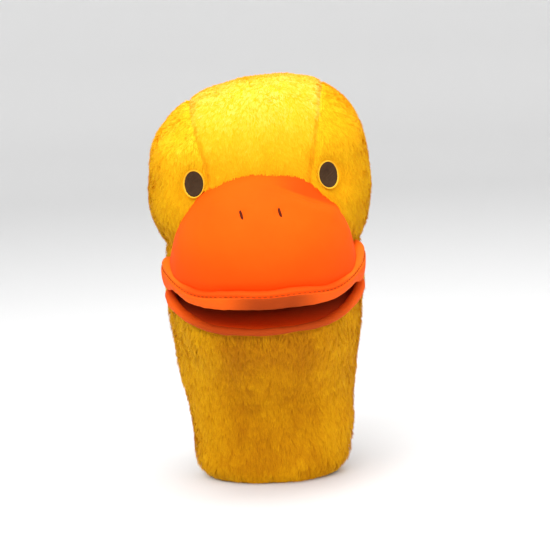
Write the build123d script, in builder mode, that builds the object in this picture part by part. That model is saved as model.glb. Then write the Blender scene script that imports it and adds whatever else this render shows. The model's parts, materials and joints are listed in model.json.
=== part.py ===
from build123d import *

import os
from math import cos, radians, sin

# Plush duck hand puppet with a moving mouth. Millimetres, +Z up, bill towards -Y.
# The origin is the centre of the sleeve opening, at the hem. Both halves of the
# mouth turn about one straight fold, which runs along X at FOLD_Y, FOLD_Z.

# Mouth fold
FOLD_Y = -15.0
FOLD_Z = 138.0
FOLD_RADIUS = 1.2
FOLD_LENGTH = 120.0
FOLD_CLEARANCE = 12.0  # radius kept free of every wall round the fold
JAW_CLEARANCE = 23.0  # radius kept free where the lower bill's ends swing down
MOUTH_START = 1.6  # distance from the fold to the back edge of the mouth plates
SOFT_GAP = 0.3

# Angles about the fold, from straight forward (-Y) down, back and up again
JAW_DROOP = 9.6
CHIN_END = 31.6
SLEEVE_START = 70.0
JAW_SWING_END = 105.0
STRAIGHT_DOWN = 90.0
SLEEVE_END = 176.0
HEAD_START = 203.3
FULL_TURN = 360.0
ANGLE_GAP = 0.4

# Sleeve: elliptical tube, half width and half depth at three heights
SLEEVE_SECTIONS = [(0.0, 56.0, 39.0), (66.0, 64.0, 43.5), (150.0, 73.0, 48.0)]
PLUSH = 4.0
LINING = 1.0
FIT_GAP = 0.2
FILL_SLACK = 3.0  # loose filling stays this far inside the plush
HEM_HEIGHT = 16.0
HEM_BAND = 1.4
NECK_HALF_WIDTH = 67.0
THROAT_RADIUS = 82.0
NAPE_RADIUS = 62.0

# Head: rounded box
HEAD_HALF_WIDTH = 80.0
HEAD_FRONT = -60.0
HEAD_BACK = 68.0
HEAD_BOTTOM = 160.0
HEAD_TOP = 297.0
HEAD_ROUND = 58.0
CROWN_FRONT_HALF = 36.0  # half width of the crown panel over the bill
CROWN_TOP_HALF = 52.0
CROWN_LOW_Z = 225.0
BACK_SEAM_Y = 30.0
CAVITY_HALF_WIDTH = 46.0
CAVITY_FRONT = -50.0
CAVITY_BACK = 42.0
CAVITY_TOP = 188.0
CAVITY_ROUND = 18.0

# Upper bill: half-oval mouth board with a padded rim, under a stuffed dome
PALATE = 1.2
BOARD = 3.0
RIM_HALF_WIDTH = 75.0
RIM_LENGTH = 97.0
RIM_WIDTH = 12.0
RIM_HEIGHT = 11.6
DOME_RADIUS = 67.0
DOME_CENTRE_Y = -38.0
DOME_HEIGHT = 80.0
HALF_TURN = 180.0
DOME_SHOULDER = 45.0
BILL_COVER = 2.0

# Lower bill
LOWER_HALF_WIDTH = 70.0
LOWER_LENGTH = 88.0
LOWER_RIM_WIDTH = 9.0
LOWER_RIM_HEIGHT = 9.0

# Pockets for the fingers and the thumb
POCKET_WALL = 1.0
FINGER_HALF_WIDTH = 38.0
FINGER_HEIGHT = 24.0
FINGER_TIP = -79.0
FINGER_ROUND = 9.0
THUMB_HALF_WIDTH = 17.0
THUMB_DEPTH = 20.0
THUMB_TIP = 66.0
THUMB_MOUTH = 14.0
THUMB_ROUND = 8.0

# Embroidery and threads
EYE_X = 48.0
EYE_Z = 221.5
EYE_HALF_WIDTH = 6.8
EYE_HALF_HEIGHT = 9.2
EYE_OUTLINE = 1.3
EYE_PROUD = 0.6
OUTLINE_PROUD = 0.9
NOSTRIL_X = 13.2
NOSTRIL_Z = 202.0
NOSTRIL_LENGTH = 6.6
NOSTRIL_WIDTH = 1.4
NOSTRIL_SLANT = 15.0
NOSTRIL_PROUD = 0.5
STITCH_WIDTH = 0.8
STITCH_HEIGHT = 2.6  # below the top of the rim

# Care label: blank folded ribbon on the lining, at the left side seam
LABEL_WIDTH = 12.0
LABEL_REACH = 10.0
LABEL_THICKNESS = 0.6
LABEL_Z = 30.0

REACH = 400.0  # past every edge of the puppet, for cutting shapes
RIM_TOP = FOLD_Z + SOFT_GAP + RIM_HEIGHT + FIT_GAP
CAVITY_FLOOR = FOLD_Z + SOFT_GAP + PALATE + BOARD + FIT_GAP
LOWER_PLATE_HALF = LOWER_HALF_WIDTH - LOWER_RIM_WIDTH - FIT_GAP
LOWER_PLATE_LENGTH = LOWER_LENGTH - LOWER_RIM_WIDTH - FIT_GAP
UPPER_PLATE_HALF = RIM_HALF_WIDTH - RIM_WIDTH - FIT_GAP
UPPER_PLATE_LENGTH = RIM_LENGTH - RIM_WIDTH - FIT_GAP

fold_axis = Axis((0, FOLD_Y, FOLD_Z), (1, 0, 0))
palate_plane = Plane(
    origin=(0, FOLD_Y, FOLD_Z + SOFT_GAP), x_dir=(1, 0, 0), z_dir=(0, 0, 1)
)
jaw_plane = Plane(
    origin=(0, FOLD_Y, FOLD_Z - SOFT_GAP),
    x_dir=(1, 0, 0),
    z_dir=(0, -sin(radians(JAW_DROOP)), cos(radians(JAW_DROOP))),
)
front_of_seams = Plane.XZ
behind_back_seam = Plane.XZ.offset(-BACK_SEAM_Y)

os.makedirs("parts", exist_ok=True)


def save(piece, name):
    """Label a finished piece and write it as its own STEP file."""
    piece.part.label = name
    export_step(piece.part, f"parts/{name}.step")


def outward(angle, distance=REACH):
    """A point in the YZ plane at an angle and a distance from the fold."""
    along, down = cos(radians(angle)), sin(radians(angle))
    return FOLD_Y - distance * along, FOLD_Z - distance * down


def fold_sector(start, end):
    """Wedge right across the puppet, between two angles about the fold."""
    middle = (start + end) / 2
    with BuildPart() as wedge:
        with BuildSketch(Plane.YZ):
            with BuildLine():
                Polyline(
                    (FOLD_Y, FOLD_Z),
                    outward(start),
                    outward((start + middle) / 2),
                    outward(middle),
                    outward((middle + end) / 2),
                    outward(end),
                    close=True,
                )
            make_face()
        extrude(amount=REACH, both=True)
    return wedge.part


def fold_cylinder(radius, length=REACH):
    """Cylinder along the mouth fold."""
    with BuildPart() as rod:
        with BuildSketch(Plane.YZ):
            with Locations((FOLD_Y, FOLD_Z)):
                Circle(radius)
        extrude(amount=length / 2, both=True)
    return rod.part


def sleeve_form(inset):
    """The sleeve's solid shape, drawn in by an inset from the plush surface."""
    with BuildPart() as form:
        for height, half_width, half_depth in SLEEVE_SECTIONS:
            with BuildSketch(Plane.XY.offset(height)):
                Ellipse(half_width - inset, half_depth - inset)
        loft()
    return form.part


def neck_form(radius, start, end, inset=0):
    """Rounded solid that a half oval sweeps out as it turns about the fold."""
    edge = Plane(
        origin=(0, FOLD_Y, FOLD_Z),
        x_dir=(1, 0, 0),
        z_dir=(0, sin(radians(start)), -cos(radians(start))),
    )
    with BuildPart() as form:
        with BuildSketch(edge):
            Ellipse(NECK_HALF_WIDTH - inset, radius - inset)
            Rectangle(REACH, REACH, align=(Align.CENTER, Align.MIN), mode=Mode.INTERSECT)
        revolve(axis=fold_axis, revolution_arc=end - start)
    return form.part


def head_form(inset):
    """The head's rounded box, drawn in by an inset from the plush surface."""
    middle = (0, (HEAD_FRONT + HEAD_BACK) / 2, (HEAD_BOTTOM + HEAD_TOP) / 2)
    with BuildPart() as form:
        with Locations(middle):
            Box(
                2 * (HEAD_HALF_WIDTH - inset),
                HEAD_BACK - HEAD_FRONT - 2 * inset,
                HEAD_TOP - HEAD_BOTTOM - 2 * inset,
            )
        fillet(form.edges(), HEAD_ROUND - inset)
    return form.part


def dome_form(inset):
    """Front half of the upper bill's dome, drawn in by an inset from its cover."""
    upright = Plane(origin=(0, DOME_CENTRE_Y, RIM_TOP), x_dir=(1, 0, 0), z_dir=(0, -1, 0))
    radius, height = DOME_RADIUS - inset, DOME_HEIGHT - inset
    shoulder = (radius * cos(radians(DOME_SHOULDER)), height * sin(radians(DOME_SHOULDER)))
    with BuildPart() as form:
        with BuildSketch(upright):
            with BuildLine():
                Line((0, height), (0, 0))
                Line((0, 0), (radius, 0))
                Spline((radius, 0), shoulder, (0, height), tangents=[(0, 1), (-1, 0)])
            make_face()
        revolve(axis=Axis((0, DOME_CENTRE_Y, 0), (0, 0, -1)), revolution_arc=HALF_TURN)
    return form.part


def half_oval(half_width, length):
    """Outline of half the mouth: the front half of an oval, cut straight near the fold."""
    Ellipse(half_width, length)
    with Locations((0, -MOUTH_START)):
        Rectangle(REACH, REACH, align=(Align.CENTER, Align.MAX), mode=Mode.INTERSECT)


def mouth_plate(plane, half_width, length, thickness):
    """Flat half-oval plate on one half of the mouth."""
    with BuildPart() as plate:
        with BuildSketch(plane):
            half_oval(half_width, length)
        extrude(amount=thickness)
    return plate.part


def mouth_rim(plane, half_width, length, width, height):
    """Padded lip round a half-oval mouth plate."""
    with BuildPart() as rim:
        with BuildSketch(plane):
            half_oval(half_width, length)
            Ellipse(half_width - width, length - width, mode=Mode.SUBTRACT)
        extrude(amount=height)
    return rim.part


def head_zone():
    """Everything above the bill's rim and above the nape, which moves with the head."""
    meeting = (RIM_TOP - FOLD_Z) / sin(radians(HEAD_START - HALF_TURN))
    with BuildPart() as zone:
        with BuildSketch(Plane.YZ):
            with BuildLine():
                Polyline(
                    (-REACH, RIM_TOP),
                    outward(HEAD_START, meeting),
                    outward(HEAD_START),
                    (REACH, 2 * REACH),
                    (-REACH, 2 * REACH),
                    close=True,
                )
            make_face()
        extrude(amount=REACH, both=True)
    return zone.part


def crown_wedge():
    """The crown panel's region: narrow over the bill, wide at the top."""
    slope = (CROWN_TOP_HALF - CROWN_FRONT_HALF) / (HEAD_TOP - CROWN_LOW_Z)
    low_half = CROWN_FRONT_HALF - slope * (CROWN_LOW_Z - HEAD_BOTTOM)
    with BuildPart() as wedge:
        with BuildSketch(Plane.XZ):
            with BuildLine():
                Polyline(
                    (-low_half, HEAD_BOTTOM),
                    (low_half, HEAD_BOTTOM),
                    (CROWN_TOP_HALF, HEAD_TOP),
                    (-CROWN_TOP_HALF, HEAD_TOP),
                    close=True,
                )
            make_face()
        extrude(amount=REACH, both=True)
    return wedge.part


def cavity_form(inset):
    """Room for the knuckles in the head, drawn in by an inset."""
    low = (0, (CAVITY_FRONT + CAVITY_BACK) / 2, CAVITY_FLOOR)
    with BuildPart() as form:
        with Locations(low):
            Box(
                2 * (CAVITY_HALF_WIDTH - inset),
                CAVITY_BACK - CAVITY_FRONT - 2 * inset,
                CAVITY_TOP - CAVITY_FLOOR - inset,
                align=(Align.CENTER, Align.CENTER, Align.MIN),
            )
        fillet(form.edges().filter_by(Axis.Z), CAVITY_ROUND - inset)
        fillet(form.faces().sort_by(Axis.Z)[-1].edges(), CAVITY_ROUND - inset)
    return form.part


def finger_form(inset):
    """Flat finger pocket over the upper mouth board, drawn in by an inset."""
    with BuildPart() as form:
        with BuildSketch(Plane.XZ.offset(-CAVITY_FRONT - FINGER_ROUND)):
            with Locations((0, CAVITY_FLOOR + FINGER_HEIGHT / 2)):
                RectangleRounded(
                    2 * (FINGER_HALF_WIDTH - inset), FINGER_HEIGHT - 2 * inset, FINGER_ROUND - inset
                )
        extrude(amount=CAVITY_FRONT + FINGER_ROUND - FINGER_TIP - inset)
    return form.part


sleeve_outside = sleeve_form(0)
sleeve_inside = sleeve_form(PLUSH)
lining_outside = sleeve_form(PLUSH + FIT_GAP)
lining_inside = sleeve_form(PLUSH + FIT_GAP + LINING)
band_inside = sleeve_form(PLUSH + FIT_GAP + HEM_BAND)
sleeve_zone = fold_sector(SLEEVE_START, SLEEVE_END)
fold_room = fold_cylinder(FOLD_CLEARANCE)
jaw_room = fold_cylinder(JAW_CLEARANCE) & fold_sector(0, JAW_SWING_END)
head_outside = head_form(0)
head_inside = head_form(PLUSH)
head_space = head_zone()
dome_outside = dome_form(0)
crown_space = crown_wedge()
neck_inside = neck_form(NAPE_RADIUS, STRAIGHT_DOWN, FULL_TURN, PLUSH)
cavity_room = cavity_form(-FIT_GAP)
finger_room = finger_form(-FIT_GAP)


# ---- Sleeve ----

with BuildPart() as sleeve_front:
    add(sleeve_outside)
    add(sleeve_inside, mode=Mode.SUBTRACT)
    add(sleeve_zone, mode=Mode.INTERSECT)
    add(fold_room, mode=Mode.SUBTRACT)
    add(jaw_room, mode=Mode.SUBTRACT)
    split(bisect_by=front_of_seams, keep=Keep.TOP)

with BuildPart() as sleeve_back:
    add(sleeve_outside)
    add(sleeve_inside, mode=Mode.SUBTRACT)
    add(sleeve_zone, mode=Mode.INTERSECT)
    add(fold_room, mode=Mode.SUBTRACT)
    split(bisect_by=front_of_seams, keep=Keep.BOTTOM)

with BuildPart() as hem_band:
    add(lining_outside)
    add(band_inside, mode=Mode.SUBTRACT)
    split(bisect_by=Plane.XY.offset(HEM_HEIGHT), keep=Keep.BOTTOM)

with BuildPart() as sleeve_lining:
    add(lining_outside)
    add(lining_inside, mode=Mode.SUBTRACT)
    add(sleeve_zone, mode=Mode.INTERSECT)
    add(fold_room, mode=Mode.SUBTRACT)
    add(jaw_room, mode=Mode.SUBTRACT)
    split(bisect_by=Plane.XY.offset(HEM_HEIGHT), keep=Keep.TOP)

with BuildPart() as care_label:
    label_seam = SLEEVE_SECTIONS[0][1] - PLUSH - FIT_GAP - LINING
    with BuildSketch(Plane.XY.offset(LABEL_Z)):
        with Locations((-label_seam, 0)):
            Rectangle(LABEL_REACH, LABEL_THICKNESS, align=(Align.MIN, Align.CENTER))
    extrude(amount=LABEL_WIDTH)

with BuildPart() as throat_panel:
    add(neck_form(THROAT_RADIUS, CHIN_END + ANGLE_GAP, SLEEVE_START - ANGLE_GAP))
    add(neck_form(THROAT_RADIUS, 0, STRAIGHT_DOWN, PLUSH), mode=Mode.SUBTRACT)
    add(fold_room, mode=Mode.SUBTRACT)
    split(bisect_by=jaw_plane.offset(-LOWER_RIM_HEIGHT - 2 * SOFT_GAP), keep=Keep.BOTTOM)

with BuildPart() as nape_panel:
    add(neck_form(NAPE_RADIUS, SLEEVE_END + ANGLE_GAP, HEAD_START - ANGLE_GAP))
    add(neck_inside, mode=Mode.SUBTRACT)
    add(fold_room, mode=Mode.SUBTRACT)

# ---- Head ----

head_shell = head_outside - head_inside - dome_outside - neck_inside - cavity_room
head_shell = head_shell & head_space

with BuildPart() as crown_gusset:
    add(head_shell)
    split(bisect_by=behind_back_seam, keep=Keep.TOP)
    add(crown_space, mode=Mode.INTERSECT)

with BuildPart() as head_side_left:
    add(head_shell)
    add(crown_space, mode=Mode.SUBTRACT)
    split(bisect_by=Plane.YZ, keep=Keep.BOTTOM)

with BuildPart() as head_side_right:
    add(head_shell)
    add(crown_space, mode=Mode.SUBTRACT)
    split(bisect_by=Plane.YZ, keep=Keep.TOP)

with BuildPart() as head_back:
    add(head_shell)
    split(bisect_by=behind_back_seam, keep=Keep.BOTTOM)
    add(crown_space, mode=Mode.INTERSECT)

with BuildPart() as head_stuffing:
    add(head_form(PLUSH + FILL_SLACK))
    add(head_space, mode=Mode.INTERSECT)
    add(dome_outside, mode=Mode.SUBTRACT)
    add(cavity_room, mode=Mode.SUBTRACT)
    add(neck_inside, mode=Mode.SUBTRACT)
    add(finger_room, mode=Mode.SUBTRACT)

with BuildPart() as head_lining:
    add(cavity_form(0))
    add(cavity_form(LINING), mode=Mode.SUBTRACT)
    add(finger_room, mode=Mode.SUBTRACT)
    add(fold_sector(HEAD_START, FULL_TURN), mode=Mode.INTERSECT)
    add(fold_room, mode=Mode.SUBTRACT)

with BuildPart() as finger_pocket:
    add(finger_form(0))
    add(finger_form(POCKET_WALL), mode=Mode.SUBTRACT)

# ---- Upper bill ----

with BuildPart() as upper_palate:
    add(mouth_plate(palate_plane, UPPER_PLATE_HALF, UPPER_PLATE_LENGTH, PALATE))

with BuildPart() as upper_mouth_board:
    add(mouth_plate(palate_plane.offset(PALATE), UPPER_PLATE_HALF, UPPER_PLATE_LENGTH, BOARD))

with BuildPart() as upper_bill_rim:
    add(mouth_rim(palate_plane, RIM_HALF_WIDTH, RIM_LENGTH, RIM_WIDTH, RIM_HEIGHT))

with BuildPart() as upper_bill_cover:
    add(dome_outside)
    add(dome_form(BILL_COVER), mode=Mode.SUBTRACT)
    add(head_outside, mode=Mode.SUBTRACT)

with BuildPart() as upper_bill_stuffing:
    add(dome_form(BILL_COVER + FILL_SLACK))
    add(finger_room, mode=Mode.SUBTRACT)
    add(cavity_room, mode=Mode.SUBTRACT)

with BuildPart() as rim_topstitch:
    stitch_plane = palate_plane.offset(RIM_HEIGHT - STITCH_HEIGHT)
    add(mouth_rim(
        stitch_plane, RIM_HALF_WIDTH + STITCH_WIDTH, RIM_LENGTH + STITCH_WIDTH, STITCH_WIDTH, STITCH_WIDTH
    ))

# ---- Embroidery ----


def proud_patch(proud_shape, base_shape, outline):
    """Part of a thin raised layer on a base shape, inside an outline facing front."""
    return (extrude(outline, amount=REACH) & proud_shape) - base_shape


def eye_outline_face(side, grow):
    """An eye's oval on the front plane, grown by an amount."""
    with BuildSketch(Plane.XZ) as oval:
        with Locations((side * EYE_X, EYE_Z)):
            Ellipse(EYE_HALF_WIDTH + grow, EYE_HALF_HEIGHT + grow)
    return oval.sketch


def nostril_face(side):
    """A nostril's slanted stitch on the front plane."""
    with BuildSketch(Plane.XZ) as slot:
        with Locations((side * NOSTRIL_X, NOSTRIL_Z)):
            SlotOverall(NOSTRIL_LENGTH, NOSTRIL_WIDTH, rotation=STRAIGHT_DOWN + NOSTRIL_SLANT)
    return slot.sketch


eye_layer = head_form(-EYE_PROUD)
outline_layer = head_form(-OUTLINE_PROUD)
stitch_layer = dome_form(-NOSTRIL_PROUD)
for side_name, side in (("left", -1), ("right", 1)):
    oval = eye_outline_face(side, 0)
    oval_ring = eye_outline_face(side, EYE_OUTLINE) - oval
    eye_patch = proud_patch(eye_layer, head_outside, oval)
    outline_patch = proud_patch(outline_layer, head_outside, oval_ring)
    stitch_patch = proud_patch(stitch_layer, dome_outside, nostril_face(side))
    with BuildPart() as eye:
        add(eye_patch)
    with BuildPart() as outline:
        add(outline_patch)
    with BuildPart() as nostril:
        add(stitch_patch)
    save(eye, f"eye_{side_name}")
    save(outline, f"eye_outline_{side_name}")
    save(nostril, f"nostril_{side_name}")

# ---- Lower bill ----

with BuildPart() as lower_bill_rim:
    add(mouth_rim(
        jaw_plane.offset(-LOWER_RIM_HEIGHT),
        LOWER_HALF_WIDTH,
        LOWER_LENGTH,
        LOWER_RIM_WIDTH,
        LOWER_RIM_HEIGHT,
    ))

with BuildPart() as lower_palate:
    add(mouth_plate(jaw_plane.offset(-PALATE), LOWER_PLATE_HALF, LOWER_PLATE_LENGTH, PALATE))

with BuildPart() as lower_mouth_board:
    add(mouth_plate(jaw_plane.offset(-PALATE - BOARD), LOWER_PLATE_HALF, LOWER_PLATE_LENGTH, BOARD))

with BuildPart() as chin_panel:
    add(neck_form(THROAT_RADIUS, JAW_DROOP, CHIN_END))
    add(neck_form(THROAT_RADIUS, 0, STRAIGHT_DOWN, PLUSH), mode=Mode.SUBTRACT)
    split(bisect_by=jaw_plane.offset(-LOWER_RIM_HEIGHT - FIT_GAP), keep=Keep.BOTTOM)

with BuildPart() as thumb_pocket:
    pocket_top = jaw_plane.offset(-PALATE - BOARD - FIT_GAP)
    with BuildSketch(pocket_top):
        with Locations((0, -(THUMB_MOUTH + THUMB_TIP) / 2)):
            Rectangle(2 * THUMB_HALF_WIDTH, THUMB_TIP - THUMB_MOUTH)
    extrude(amount=-THUMB_DEPTH)
    fillet(thumb_pocket.edges().filter_by(Axis((0, 0, 0), jaw_plane.y_dir))[:2], THUMB_ROUND)
    with BuildSketch(pocket_top.offset(-POCKET_WALL)):
        with Locations((0, -(THUMB_MOUTH + THUMB_TIP) / 2 + POCKET_WALL)):
            Rectangle(2 * (THUMB_HALF_WIDTH - POCKET_WALL), THUMB_TIP - THUMB_MOUTH)
    extrude(amount=-THUMB_DEPTH + 2 * POCKET_WALL, mode=Mode.SUBTRACT)

with BuildPart() as mouth_fold:
    add(fold_cylinder(FOLD_RADIUS, FOLD_LENGTH))

pieces = {
    "sleeve_front": sleeve_front,
    "sleeve_back": sleeve_back,
    "hem_band": hem_band,
    "sleeve_lining": sleeve_lining,
    "care_label": care_label,
    "throat_panel": throat_panel,
    "nape_panel": nape_panel,
    "mouth_fold": mouth_fold,
    "crown_gusset": crown_gusset,
    "head_side_left": head_side_left,
    "head_side_right": head_side_right,
    "head_back": head_back,
    "head_stuffing": head_stuffing,
    "head_lining": head_lining,
    "finger_pocket": finger_pocket,
    "upper_palate": upper_palate,
    "upper_mouth_board": upper_mouth_board,
    "upper_bill_rim": upper_bill_rim,
    "upper_bill_cover": upper_bill_cover,
    "upper_bill_stuffing": upper_bill_stuffing,
    "rim_topstitch": rim_topstitch,
    "lower_bill_rim": lower_bill_rim,
    "lower_palate": lower_palate,
    "lower_mouth_board": lower_mouth_board,
    "chin_panel": chin_panel,
    "thumb_pocket": thumb_pocket,
}
for name, piece in pieces.items():
    save(piece, name)
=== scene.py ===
"""Looks of the plush duck hand puppet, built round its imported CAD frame.

The plush is one set of curved panels, each with a pile of real tapered strands. The bill is
a stuffed dome on a padded lip, with a matching lower lip, and the eyes and nostrils are
embroidered. Lengths named in this file are millimetres; meshes are written in metres.
"""

import math

import bpy
import numpy as np
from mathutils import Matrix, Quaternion, Vector
from mathutils.kdtree import KDTree
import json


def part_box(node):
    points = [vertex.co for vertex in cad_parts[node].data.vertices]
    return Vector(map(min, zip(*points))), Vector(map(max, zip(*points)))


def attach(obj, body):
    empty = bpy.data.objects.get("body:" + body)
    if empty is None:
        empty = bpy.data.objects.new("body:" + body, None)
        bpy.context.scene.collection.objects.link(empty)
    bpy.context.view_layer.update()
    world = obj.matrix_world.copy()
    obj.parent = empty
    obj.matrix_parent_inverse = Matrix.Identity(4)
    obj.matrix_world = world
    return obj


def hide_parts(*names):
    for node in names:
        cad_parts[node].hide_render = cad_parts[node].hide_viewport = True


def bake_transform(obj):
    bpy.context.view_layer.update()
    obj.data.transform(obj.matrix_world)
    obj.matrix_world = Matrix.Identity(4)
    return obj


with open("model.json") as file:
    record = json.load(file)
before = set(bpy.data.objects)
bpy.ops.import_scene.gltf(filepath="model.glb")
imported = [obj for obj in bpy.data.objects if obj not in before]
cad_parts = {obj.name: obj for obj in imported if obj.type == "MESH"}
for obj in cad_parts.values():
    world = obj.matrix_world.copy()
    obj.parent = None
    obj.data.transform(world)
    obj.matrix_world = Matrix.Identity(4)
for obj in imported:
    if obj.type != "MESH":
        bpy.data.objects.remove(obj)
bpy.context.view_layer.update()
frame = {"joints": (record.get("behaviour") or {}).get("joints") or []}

MM = 0.001
LEVEL = np.array([1, 1, 0])


# ---- places read from the frame


def box_mm(node):
    """A CAD node's lowest and highest corners, in millimetres."""
    low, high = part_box(node)
    return np.array(low) / MM, np.array(high) / MM


jaw_joint = next(j for j in frame["joints"] if j["name"] == "jaw_open")
FOLD_Y = jaw_joint["pos_m"][1] / MM
FOLD_Z = jaw_joint["pos_m"][2] / MM
side_low, side_high = box_mm("head_side_right")
rim_low, rim_high = box_mm("upper_bill_rim")
cover_low, cover_high = box_mm("upper_bill_cover")
eye_low, eye_high = box_mm("eye_right")
nostril_low, nostril_high = box_mm("nostril_right")

HEAD_HALF = side_high[0]
HEAD_MID_Y = (side_low[1] + side_high[1]) / 2
HEAD_DEPTH = (side_high[1] - side_low[1]) / 2
HEAD_TOP = box_mm("crown_gusset")[1][2]
HEAD_MID_Z = 224.0
HEAD_DOWN = 83.0  # from the widest level down to the closed underside, inside the neck
HEAD_POWER = 2.45
PILE_RISE = 3.0  # the knitted backing lies this far inside the plush surface
BACKING = 1.4

EYE_X, _, EYE_Z = (eye_low + eye_high) / 2
EYE_HALF_WIDTH, _, EYE_HALF_HEIGHT = (eye_high - eye_low) / 2
EYE_SHIFT = 1.7  # the eyes sit a little towards the puppet's left hand, and its left eye higher
EYE_STEP = 0.9
EYE_OUTLINE = 0.9
NOSTRIL_X, _, NOSTRIL_Z = (nostril_low + nostril_high) / 2
NOSTRIL_SLANT = math.radians(15)

DOME_RADIUS = cover_high[0]
DOME_MID_Y = cover_low[1] + DOME_RADIUS
DOME_BASE_Z = cover_low[2]
DOME_HEIGHT = cover_high[2] - cover_low[2] + 4
DOME_POWER = 2.15


# ---- small geometry helpers


def spow(value, power):
    """Power that keeps the sign, for superellipses."""
    return np.sign(value) * np.abs(value) ** power


def unit(vectors):
    """Vectors scaled to length one."""
    return vectors / np.maximum(np.linalg.norm(vectors, axis=-1, keepdims=True), 1e-9)


def once_round(count):
    """Evenly spaced angles that go once round."""
    return np.linspace(0, 2 * math.pi, count, endpoint=False)


def smooth(low, high, value):
    """0 below low, 1 above high, and a smooth step between."""
    t = np.clip((value - low) / (high - low), 0, 1)
    return t * t * (3 - 2 * t)


def hill(*spans):
    """1 where every offset is nil, falling smoothly over each (offset, width)."""
    return np.exp(-sum((offset / width) ** 2 for offset, width in spans))


def with_hills(value, x, z, *rows):
    """A value with hills on it; a row is a rise, then middle and width in x, then in z."""
    for rise, middle_x, width_x, middle_z, width_z in rows:
        value = value + rise * hill((x - middle_x, width_x), (z - middle_z, width_z))
    return value


def curve(t, knots, values):
    """Catmull-Rom curve through values at knots."""
    knots, values = np.array(knots, float), np.array(values, float)
    slopes = np.gradient(values, knots)
    i = np.clip(np.searchsorted(knots, t, side="right") - 1, 0, len(knots) - 2)
    width = knots[i + 1] - knots[i]
    s = np.clip((t - knots[i]) / width, 0, 1)
    a, b = values[i], values[i + 1]
    ma, mb = slopes[i] * width, slopes[i + 1] * width
    return (
        a * (2 * s**3 - 3 * s**2 + 1) + ma * (s**3 - 2 * s**2 + s)
        + b * (3 * s**2 - 2 * s**3) + mb * (s**3 - s**2)
    )


def ripple(points, scale, seed):
    """Smooth wandering value from -1 to 1 at each point, for soft unevenness."""
    rng = np.random.default_rng(seed)
    total = np.zeros(points.shape[:-1])
    for k in range(6):
        wave = rng.normal(size=3)
        wave = wave / np.linalg.norm(wave) * (0.7 + 0.25 * k) * 2 * math.pi / scale
        total += np.sin(points @ wave + rng.uniform(0, 2 * math.pi)) / (1 + 0.3 * k)
    return total / 3.2


def grid_normals(grid):
    """Outward-facing normals of a grid of points, by differences."""
    along = np.gradient(grid, axis=0)
    across = np.gradient(grid, axis=1)
    return unit(np.cross(across, along))


def put(name, data):
    """New object in the scene."""
    thing = bpy.data.objects.new(name, data)
    bpy.context.scene.collection.objects.link(thing)
    return thing


def mesh_object(name, verts, quads, tris=None, tones=None, normals=None):
    """Mesh object from arrays, in millimetres, shaded smooth."""
    tris = np.zeros((0, 3), int) if tris is None else tris
    mesh = bpy.data.meshes.new(name)
    mesh.vertices.add(len(verts))
    mesh.vertices.foreach_set("co", (np.asarray(verts, float) * MM).astype(np.float32).ravel())
    corners = np.concatenate([quads.ravel(), tris.ravel()]).astype(np.int32)
    mesh.loops.add(len(corners))
    mesh.loops.foreach_set("vertex_index", corners)
    starts = np.concatenate([
        np.arange(len(quads)) * 4, len(quads) * 4 + np.arange(len(tris)) * 3
    ]).astype(np.int32)
    mesh.polygons.add(len(starts))
    mesh.polygons.foreach_set("loop_start", starts)
    mesh.update(calc_edges=True)
    mesh.shade_smooth()
    if tones is not None:
        mesh.polygons.foreach_set("material_index", tones.astype(np.int32))
    if normals is not None:
        mesh.normals_split_custom_set_from_vertices(normals.tolist())
    return put(name, mesh)


def grid_quads(rows, columns, wrap=False):
    """Quads of a grid of points, row by row."""
    index = np.arange(rows * columns).reshape(rows, columns)
    if wrap:
        index = np.concatenate([index, index[:, :1]], 1)
    corners = [index[:-1, :-1], index[:-1, 1:], index[1:, 1:], index[1:, :-1]]
    return np.stack(corners, -1).reshape(-1, 4)


def shell(name, grid, thickness, wrap=False):
    """Closed thin sheet from a grid, or with wrap a tube wall that is open at both ends."""
    rows, columns = grid.shape[:2]
    count = rows * columns
    index = np.arange(count).reshape(rows, columns)
    if wrap:
        inner = grid - unit(grid * LEVEL) * thickness
        loops = [(a, np.roll(a, -1)) for a in (index[0], index[-1, ::-1])]
    else:
        inner = grid - grid_normals(grid) * thickness
        sides = index[0, ::-1], index[-1], index[:, 0], index[::-1, -1]
        loops = [(a[:-1], a[1:]) for a in sides]
    outer = grid_quads(rows, columns, wrap)
    edges = [np.stack([a, a + count, b + count, b], -1) for a, b in loops]
    verts = np.concatenate([grid.reshape(-1, 3), inner.reshape(-1, 3)])
    return mesh_object(name, verts, np.concatenate([outer, outer[:, ::-1] + count, *edges]))


def tube_grid(path, wide, high, sides, up=(0, 0, 1)):
    """Rings of points round a path, with a width and a height at each of its points."""
    tangent = unit(np.gradient(path, axis=0))
    side = unit(np.cross(tangent, np.broadcast_to(up, path.shape)))
    lift = np.cross(side, tangent)
    turn = once_round(sides)[None, :, None]
    across = side[:, None] * (np.cos(turn) * wide[:, None, None])
    return path[:, None] + (across + lift[:, None] * (np.sin(turn) * high[:, None, None]))


def capped(grid):
    """Arrays for a closed tube from its rings, with a point at each end."""
    rows, columns = grid.shape[:2]
    verts = np.concatenate([grid.reshape(-1, 3), [grid[0].mean(0)], [grid[-1].mean(0)]])
    quads = grid_quads(rows, columns, wrap=True)
    ring, last_row = np.arange(columns), (rows - 1) * columns
    after = np.roll(ring, -1)
    first = np.stack([after, ring, np.full(columns, rows * columns)], -1)
    last = np.stack([ring, after, np.full(columns, columns + 1)], -1) + last_row
    return verts, quads, np.concatenate([first, last])


def join_arrays(parts):
    """Several (verts, quads, tris) sets as one."""
    verts, quads, tris = zip(*parts)
    starts = np.cumsum([0] + [len(v) for v in verts])
    moved = [[face + start for face, start in zip(faces, starts)] for faces in (quads, tris)]
    return [np.concatenate(group) for group in (verts, *moved)]


# ---- materials


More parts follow.
